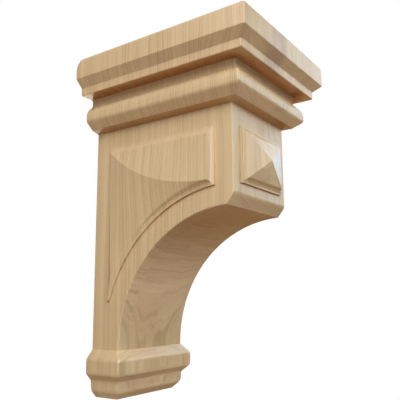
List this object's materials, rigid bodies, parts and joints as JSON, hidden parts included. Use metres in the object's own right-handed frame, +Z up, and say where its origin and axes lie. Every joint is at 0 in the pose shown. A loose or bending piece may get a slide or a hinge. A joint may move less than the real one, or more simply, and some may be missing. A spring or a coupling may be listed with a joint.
{
  "type": "wooden corbel bracket",
  "caption": "Carved wooden corbel with a moulded cap, raised panels, an arched underside and a small moulded base, for a shelf, mantel or beam.",
  "frame": {"origin": "middle of the flat back face, half way up, in the plane of the wall", "axes": "+Y out of the back into the wall, -Y towards the nose, +Z up, X across the width"},
  "size_m": [0.1758, 0.21, 0.356],
  "materials": {
    "bare_wood": "fine-sanded bare wood, straight vertical grain, edge-glued boards that differ slightly in tone"
  },
  "bodies": {
    "root": {"corbel": "bare_wood"}
  },
  "joints": []
}
